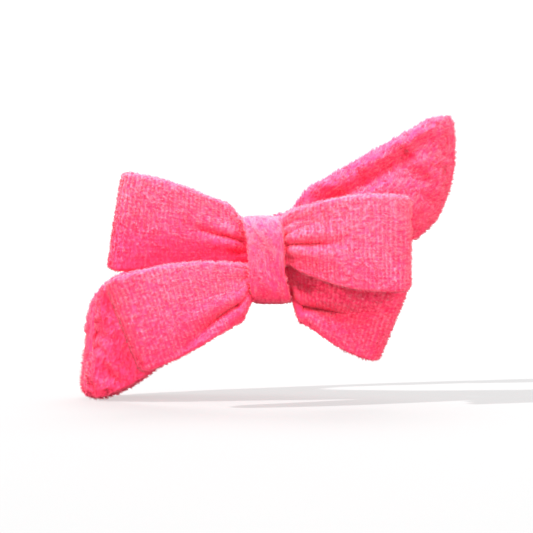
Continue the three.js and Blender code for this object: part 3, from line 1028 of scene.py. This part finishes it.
def lobe_folds(shape, s, v, wall):
    """How far the folds move a lobe's wall. Each fold is a valley across v that is deepest near
    the knot and fades along s, with a soft ridge to either side; wall is 1 on the front wall
    and -1 on the rear one. Fine gathers fade within the first fifth."""
    moved = 0.0 * s * v
    start = ease((s + 0.02) / 0.10)
    for root_v, end_v, width, depth, fade in shape["folds"]:
        at = mix(root_v, end_v, np.clip(s, 0, 1))
        wide = width * (0.7 + 1.1 * np.clip(s, 0, 1))
        valley = hump(v, at, wide)
        banks = hump(v, at + 2.1 * wide, 1.4 * wide) + hump(v, at - 2.1 * wide, 1.4 * wide)
        strength = start * np.exp(-((np.maximum(s, 0) / fade) ** 2))
        moved = moved + strength * depth * MM * (0.42 * banks - valley)
    gathers = np.sin(v * 27 + shape["side"]) + 0.6 * np.sin(v * 43 + 2.0)
    moved = moved + 0.25 * MM * gathers * hump(s, 0.03, 0.07)
    front = np.clip(wall, 0, 1)
    rear = np.clip(-wall, 0, 1)
    slow = noise(s * 3.2 + 7 + shape["side"], v * 2.6 + (3 if shape["front"] else 9), 31)
    return front * moved - rear * 0.35 * moved + 0.7 * MM * slow * ease(s / 0.4) * np.abs(wall)


def strip_outline(count, half_width, half):
    """A flat strip's outline as (across from -1 to 1, angle of the offset): along the outer
    face, round the upper edge, back along the inner face and round the lower edge."""
    flat = 2 * (half_width - half)
    turn = math.pi * half
    whole = 2 * flat + 2 * turn
    at = np.arange(count) / count * whole
    parts = [at < flat, at < flat + turn, at < 2 * flat + turn]
    outer = -1 + 2 * at / flat
    inner = 1 - 2 * (at - flat - turn) / flat
    across = np.select(parts, [outer, 1, inner], -1)
    upper_turn = math.pi / 2 - (at - flat) / half
    lower_turn = -math.pi / 2 - (at - 2 * flat - turn) / half
    return across, np.select(parts, [math.pi / 2, upper_turn, -math.pi / 2], lower_turn)


def strip_grid(middle, rows, columns, width, half, plump=0.15, close_u=False):
    """A doubled strip of cloth: the outline of a flat strip carried over a middle surface
    middle(u, v), its edges rounded with the radius of its half thickness, which swells by the
    share plump towards the middle of its width."""
    across, angle = strip_outline(columns, width / 2, half)
    u = np.linspace(0, 1, rows, endpoint=not close_u)[:, None]
    margin = half / width
    v = (0.5 + across * (0.5 - margin))[None, :]
    p = middle(u, v)
    step = 1e-3
    d_u = middle(u + step, v) - middle(u - step, v)
    d_v = middle(u, v + step) - middle(u, v - step)
    normal = unit(np.cross(d_u, d_v))
    sideways = unit(d_v)
    swell = half * (1 + plump * (1 - across[None, :] ** 4))
    return p + swell[..., None] * (
        np.cos(angle)[None, :, None] * sideways + np.sin(angle)[None, :, None] * normal
    )


def lobe_grid(name, rows, columns):
    """One lobe as a doubled strip on its middle surface."""
    shape = LOBES[name]
    bow = sizes()[1]
    return strip_grid(
        lambda u, v: lobe_middle(shape, u, v), rows, columns, STRIP_WIDTH, bow.strip_half,
    )


def knot_middle(u, v):
    """The middle surface of the wrap: a rounded upright ring, (cos^0.42, sin^0.42) of its angle,
    that leans with the knot. Its front swells, and its sides draw in a little at half height."""
    bow = sizes()[1]
    low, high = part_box("knot_wrap")
    front = -low.y - 1.3 * MM
    back = -high.y + 1.3 * MM
    a = 2 * math.pi * u
    z = (bow.knot_half_height - 2.4 * MM) * power(np.sin(a), 0.42) - 0.6 * MM
    forward = (front + back) / 2 + (front - back) / 2 * power(np.cos(a), 0.42)
    facing = np.clip(np.cos(a), 0, 1) ** 0.5
    width = bow.knot_half_width * (1 - 0.05 * facing * np.cos(math.pi * z / bow.knot_half_height))
    bulge = 0.9 * MM * facing * (1 - (2 * v - 1) ** 2)
    s_curve = 0.8 * MM * facing * np.sin(math.pi * z / bow.knot_half_height)
    x = width * (2 * v - 1) - z * math.tan(bow.knot_tilt) + s_curve
    crease = 0.5 * MM * facing * np.sin(9 * v + z / MM / 5.0) * hump(z, 0, 30 * MM)
    return np.stack(np.broadcast_arrays(x, -(forward + bulge + crease), z), -1)


def middle_grid(front):
    """The gathered middle of a strip under the knot: an oval bar with deep lengthwise pleats,
    radius 1 + 0.12 cos(9 angle + 0.8 u), leaning with the knot."""
    bow = sizes()[1]
    strip = bow.front_strip if front else bow.rear_strip
    low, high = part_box("front_strip_centre" if front else "rear_strip_centre")
    half_height = (high.z - low.z) / 2 * 0.93
    half_depth = (high.y - low.y) / 2 * 0.86
    u = np.linspace(-1, 1, 24)[:, None]
    a = np.linspace(0, 2 * math.pi, 160, endpoint=False)[None, :]
    pleat = 1 + 0.12 * np.cos(9 * a + 0.8 * u)
    slope = 0.06 if front else -0.06
    z = half_height * power(np.sin(a), 0.8) * pleat * (0.92 + 0.08 * u**2)
    x = u * 4.2 * MM - z * math.tan(bow.knot_tilt)
    y = -strip + half_depth * power(np.cos(a), 0.7) * pleat
    return np.stack(np.broadcast_arrays(x, y, z * 0.94 + slope * x), -1)


# ---- Operators ----------------------------------------------------------------------------------


def loop_painted_light(p):
    """Painted shade on the loop's pile: deepest at -X, where the band lies back in shade, and palest
    at +X, where light falls on it, eased between.
    """
    return mix(*LOOP_PAINTED_LIGHT, ease(0.5 + p[..., 0] / (2 * sizes()[0].half_width)))


def lobe_painted_light(p, shape):
    """Painted shade and highlight on a lobe's pile: eased from the shape's first nap value,
    painted shade at its lower edge, to its second one, painted highlight near its upper edge."""
    low = p[..., 2].min(axis=1, keepdims=True)
    high = p[..., 2].max(axis=1, keepdims=True)
    up = (p[..., 2] - low) / (high - low)
    return mix(*shape["nap"], ease(1.15 * up))


def knot_painted_light(p):
    """Painted light on the wrap's pile: painted shade at its foot and painted highlight at its top, as
    light falls from above.
    """
    return mix(*KNOT_PAINTED_LIGHT, ease(0.5 + p[..., 2] / (2 * sizes()[1].knot_half_height)))


def bare(nodes, material):
    """Gives CAD nodes that stay in view their finish."""
    for node in nodes:
        piece = frame["nodes"][node]
        piece.data.materials.clear()
        piece.data.materials.append(finish(material))


class HEADBAND_OT_front_band(bpy.types.Operator):
    """Make the padded front band with its pile"""

    bl_idname = "headband.front_band"
    bl_label = "Front band"

    def execute(self, context):
        pile = sizes()[2]
        plain = front_band_grid(*BAND_GRID, creased=0.0)
        held = np.zeros(BAND_GRID, bool)
        held[:HELD_ENDS] = True
        held[-HELD_ENDS:] = True
        for rim in HELD_RIMS:
            held[:, rim] = True
        p = settle(plain, held, PAD_PRESSURE, PAD_SPARE) + front_band_grid(*BAND_GRID) - plain
        relief = pile_relief(p, False, True, 41, BAND_RELIEF)
        p = lie(p, False, True, relief)
        # Painted shade graded along the front band, deepest at -X.
        light = loop_painted_light(p)
        piece = grid_piece("front_band", p, close_v=True, relief=relief, light=light)
        nodes = ("front_band_outer", "front_band_lining", "upper_rim_seam", "lower_rim_seam")
        dress(piece, "plush_plain", body="band", stands_for=nodes)
        outer = np.zeros(p.shape[:2])
        columns = p.shape[1]
        outer[:, : columns // 4] = 1
        outer[:, 3 * columns // 4:] = 1
        under_knot = np.abs(p[..., 0]) < sizes()[1].knot_half_width + 2 * MM
        for name, keep, seed in (("outer", outer, 42), ("lining", 1 - outer, 43)):
            keep = np.where(under_knot, 0.0, keep)
            tufts = pile_piece(
                "front_band_pile_" + name, p, False, True, relief, seed, pile.band_tuft, 0.5,
                pile.density, keep, light=light,
            )
            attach(tufts, "band")
        inner = grid_piece("front_band_filling", filling_grid(p), close_v=True)
        dress(inner, "wadding", body="band", stands_for=("front_band_wadding",))
        bare(["left_seam_thread", "right_seam_thread"], "sewing_thread")
        return {"FINISHED"}


class HEADBAND_OT_rear_band(bpy.types.Operator):
    """Make the gathered rear casing with its pile, the elastic's finish and the care label"""

    bl_idname = "headband.rear_band"
    bl_label = "Rear band"

    def execute(self, context):
        loop, _, pile, _ = sizes()
        p = casing_grid(*CASING_GRID)
        relief = pile_relief(p, False, True, 51, CASING_RELIEF)
        p = lie(p, False, True, relief)
        start = (0, -loop.half_depth * math.sin(loop.seam_angle) + 3 * MM, 0)
        end = (0, 0.85 * loop.half_depth, 0)
        seam = ("band", "rear_band", start, end)
        # Painted shade graded round the casing, deepest at -X.
        light = loop_painted_light(p)
        piece = grid_piece("rear_casing_cloth", p, close_v=True, relief=relief, light=light)
        dress(piece, "plush_plain", seam=seam, stands_for=("rear_casing",))
        tufts = pile_piece(
            "rear_casing_pile", p, False, True, relief, 52, pile.band_tuft, 0.4,
            0.6 * pile.density, light=light,
        )
        carry(tufts, None, seam)
        elastic = elastic_band()
        dress(elastic, "knitted_elastic", seam=seam, stands_for=("rear_elastic",))
        label = care_label()
        dress(label, "satin_label", seam=seam, stands_for=("care_label",))
        return {"FINISHED"}


def elastic_band():
    """The elastic: a flat strip with rounded edges, carried round the back of the loop at the
    height and thickness that its solid has."""
    loop = sizes()[0]
    t0 = -loop.seam_angle + 0.6 * MM / loop.half_depth

    def middle(u, v):
        t = mix(t0, math.pi - t0, u)
        return loop_point(t, ELASTIC_HEIGHT * (v - 0.5), 0 * t * v)

    p = strip_grid(middle, *ELASTIC_GRID, ELASTIC_HEIGHT, ELASTIC_HALF, plump=0.0)
    return grid_piece("rear_elastic_strip", p, close_v=True)


def care_label():
    """The care label: a small thin sheet hung from the casing's lower seam, its free end curled
    away from the cloth by a quarter of a sine wave."""
    loop = sizes()[0]
    t0 = -loop.seam_angle + 3.0 * RAD

    def middle(u, v):
        t = t0 + u * LABEL_WIDTH / loop.half_depth
        curl = 1.6 * MM * np.sin(v * math.pi / 2) ** 2 + 0.3 * MM * np.sin(u * math.pi)
        d = -(loop.casing_half + 2.2 * MM) - curl
        return loop_point(t, v * LABEL_LENGTH + 2 * MM - loop.front_half_height, d)

    p = strip_grid(middle, *LABEL_GRID, LABEL_LENGTH, LABEL_HALF, plump=0.0)
    return grid_piece("care_label_tape", p, close_v=True)


class HEADBAND_OT_bow(bpy.types.Operator):
    """Make the bow's four lobes and the gathered middles of its strips, with their pile"""

    bl_idname = "headband.bow"
    bl_label = "Bow"

    def execute(self, context):
        pile = sizes()[2]
        joints = {j["name"]: j for j in frame["joints"]}
        for number, (name, shape) in enumerate(LOBES.items()):
            seed = 60 + 10 * number
            p = lobe_grid(name, *LOBE_GRID)
            relief = pile_relief(p, False, True, seed, BOW_RELIEF, RIB_SHARE)
            p = lie(p, False, True, relief)
            pin = Vector(joints[shape["joint"]]["pos_m"])
            out = Vector((shape["side"], 0, 0))
            seam = ("knot", shape["body"], pin - out * 2 * MM, pin + out * 9 * MM)
            # Painted shade at the lobe's lower edge and painted highlight near its upper edge.
            light = lobe_painted_light(p, shape)
            piece = grid_piece(name + "_cloth", p, close_v=True, relief=relief, light=light)
            dress(piece, "plush_ribbed", seam=seam, stands_for=(name,))
            strip_length(p)
            tufts = pile_piece(
                name + "_pile", p, False, True, relief, seed + 5, pile.bow_tuft,
                0.0 if shape["side"] > 0 else math.pi, pile.density, light=light,
            )
            carry(tufts, None, seam)
            bare([name + "_seam"], "sewing_thread")
        for front, node in ((True, "front_strip_centre"), (False, "rear_strip_centre")):
            p = middle_grid(front)
            piece = grid_piece(node + "_gathers", p, close_v=True)
            dress(piece, "plush_plain", body="knot", stands_for=(node,))
        return {"FINISHED"}


def strip_length(p):
    """The length of a grid along u, in metres."""
    return arc_lengths(p, 0, False)[1]


class HEADBAND_OT_knot(bpy.types.Operator):
    """Make the wrap round the bow and the band, with its pile, and its threads' finish"""

    bl_idname = "headband.knot"
    bl_label = "Knot"

    def execute(self, context):
        bow, pile = sizes()[1:3]
        width = 2 * bow.knot_half_width
        p = strip_grid(knot_middle, *KNOT_GRID, width, WRAP_HALF, plump=0.2, close_u=True)
        relief = pile_relief(p, True, True, 101, KNOT_RELIEF)
        p = lie(p, True, True, relief)
        # Painted shade at the wrap's foot and painted highlight at its top.
        light = knot_painted_light(p)
        piece = grid_piece(
            "knot_wrap_cloth", p, close_u=True, close_v=True, relief=relief, light=light,
        )
        dress(piece, "plush_plain", body="knot", stands_for=("knot_wrap",))
        tufts = pile_piece(
            "knot_wrap_pile", p, True, True, relief, 102, 0.8 * pile.bow_tuft, 0.8,
            1.3 * pile.density, light=light,
        )
        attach(tufts, "knot")
        bare(["binding_thread", "knot_closing_stitch"], "sewing_thread")
        return {"FINISHED"}


# ---- The stage ----------------------------------------------------------------------------------

FRAME_WIDTH = 266.5 * MM  # how wide the picture is at the bow's front
CAMERA_AWAY = 1.4
CAMERA_RISE = 2.0 * RAD
SENSOR = 36.0


def add_area(name, place, target, size, watts):
    """A soft square lamp at a place, facing a target."""
    lamp = bpy.data.lights.new(name, "AREA")
    lamp.shape = "SQUARE"
    lamp.size = size
    lamp.energy = watts
    holder = bpy.data.objects.new(name, lamp)
    holder.location = place
    holder.rotation_mode = "QUATERNION"
    holder.rotation_quaternion = (Vector(target) - Vector(place)).to_track_quat("-Z", "Y")
    bpy.context.scene.collection.objects.link(holder)
    return holder


def add_sun(name, energy):
    """A low hard light from the left and in front."""
    sun = bpy.data.lights.new(name, "SUN")
    sun.energy = energy
    sun.angle = 1.5 * RAD
    holder = bpy.data.objects.new(name, sun)
    holder.rotation_mode = "QUATERNION"
    way = Vector((math.cos(24 * RAD), 0.45, -math.sin(24 * RAD)))
    holder.rotation_quaternion = way.to_track_quat("-Z", "Y")
    bpy.context.scene.collection.objects.link(holder)
    return holder


class HEADBAND_OT_stage(bpy.types.Operator):
    """Make the floor, the lights and the camera"""

    bl_idname = "headband.stage"
    bl_label = "Stage"

    def execute(self, context):
        scene = context.scene
        low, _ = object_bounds()
        floor = new_mesh(
            "floor",
            np.array([(-3, -2.5, low.z), (3, -2.5, low.z), (3, 0.4, low.z), (-3, 0.4, low.z)]),
            [np.array([[0, 1, 2, 3]])],
        )
        white = bpy.data.materials.new("white_floor")
        white.use_nodes = True
        Maker(white).surface(
            (0.2, 0.2, 0.2, 1.0), 0.8, Specular_IOR_Level=0.1,
            Emission_Color=(1.0, 1.0, 1.0, 1.0), Emission_Strength=0.52,
        )
        floor.data.materials.append(white)
        floor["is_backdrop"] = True
        self.light(scene, floor)
        self.aim(scene)
        scene.view_settings.view_transform = "Standard"
        return {"FINISHED"}

    def light(self, scene, floor):
        """An even white surround, which the camera sees brighter, and a soft lamp behind light
        everything. A big soft lamp above the front, a fill from the right and a low hard light
        from the left light only the headband. Another low light, on the floor only, draws the
        headband's long shadow."""
        world = bpy.data.worlds.new("surround")
        world.use_nodes = True
        make = Maker(world)
        dim = make.node("ShaderNodeBackground", None, [(1, 1, 1, 1), 0.80])
        bright = make.node("ShaderNodeBackground", None, [(1, 1, 1, 1), 1.2])
        seen = make.node("ShaderNodeLightPath")
        both = make.node("ShaderNodeMixShader", None, [seen, dim, bright])
        make.node("ShaderNodeOutputWorld", None, {"Surface": both})
        scene.world = world
        add_area("back", (0.2, 0.9, 1.2), (0, 0.1, -0.08), 0.9, 14)
        key = add_area("key", (-0.2, -0.6, 1.35), (0, 0, 0), 0.7, 66)
        fill = add_area("fill", (1.0, -1.15, 0.45), (0, 0, 0), 0.6, 11)
        side = add_sun("side", 1.4)
        low = add_sun("low", 9.5)
        lit = {"headband": [key, fill, side], "floor": [low]}
        for name, lamps in lit.items():
            group = bpy.data.collections.new("lit_" + name)
            for piece in [floor] if name == "floor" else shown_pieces():
                group.objects.link(piece)
            for lamp in lamps:
                lamp.light_linking.receiver_collection = group

    def aim(self, scene):
        """A long lens close to the floor's level, square on to the bow."""
        front = -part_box("bow_front_right")[0].y - 10 * MM
        target = Vector((0, -front, -3.3 * MM))
        camera = bpy.data.cameras.new("camera")
        camera.sensor_width = SENSOR
        camera.lens = SENSOR * CAMERA_AWAY / FRAME_WIDTH
        camera.clip_start = 0.05
        holder = bpy.data.objects.new("camera", camera)
        back = Vector((0, -math.cos(CAMERA_RISE), math.sin(CAMERA_RISE)))
        holder.location = target + back * CAMERA_AWAY
        holder.rotation_mode = "QUATERNION"
        holder.rotation_quaternion = (-back).to_track_quat("-Z", "Y")
        scene.collection.objects.link(holder)
        scene.camera = holder


OPERATORS = (
    HEADBAND_OT_front_band,
    HEADBAND_OT_rear_band,
    HEADBAND_OT_bow,
    HEADBAND_OT_knot,
    HEADBAND_OT_stage,
)


class HEADBAND_PT_panel(bpy.types.Panel):
    """Lists what makes the headband"""

    bl_label = "Headband"
    bl_idname = "HEADBAND_PT_panel"
    bl_space_type = "VIEW_3D"
    bl_region_type = "UI"
    bl_category = "Headband"

    def draw(self, context):
        for operator in OPERATORS:
            self.layout.operator(operator.bl_idname)
        for name in GROUPS:
            group = getattr(context.scene, name)
            box = self.layout.box()
            for key in group.bl_rna.properties.keys():
                if key not in {"rna_type", "name"}:
                    box.prop(group, key)


GROUPS = {
    "headband_loop": LoopSizes,
    "headband_bow": BowSizes,
    "headband_pile": PileSizes,
    "headband_colours": HeadbandColours,
}


def register():
    for cls in (*GROUPS.values(), *OPERATORS, HEADBAND_PT_panel):
        bpy.utils.register_class(cls)
    for name, group in GROUPS.items():
        setattr(bpy.types.Scene, name, PointerProperty(type=group))


def unregister():
    for name in GROUPS:
        delattr(bpy.types.Scene, name)
    for cls in (HEADBAND_PT_panel, *reversed(OPERATORS), *GROUPS.values()):
        bpy.utils.unregister_class(cls)


def main():
    """Makes every piece in order."""
    register()
    bpy.ops.headband.front_band()
    bpy.ops.headband.rear_band()
    bpy.ops.headband.bow()
    bpy.ops.headband.knot()
    bpy.ops.headband.stage()


if __name__ == "__main__":
    main()
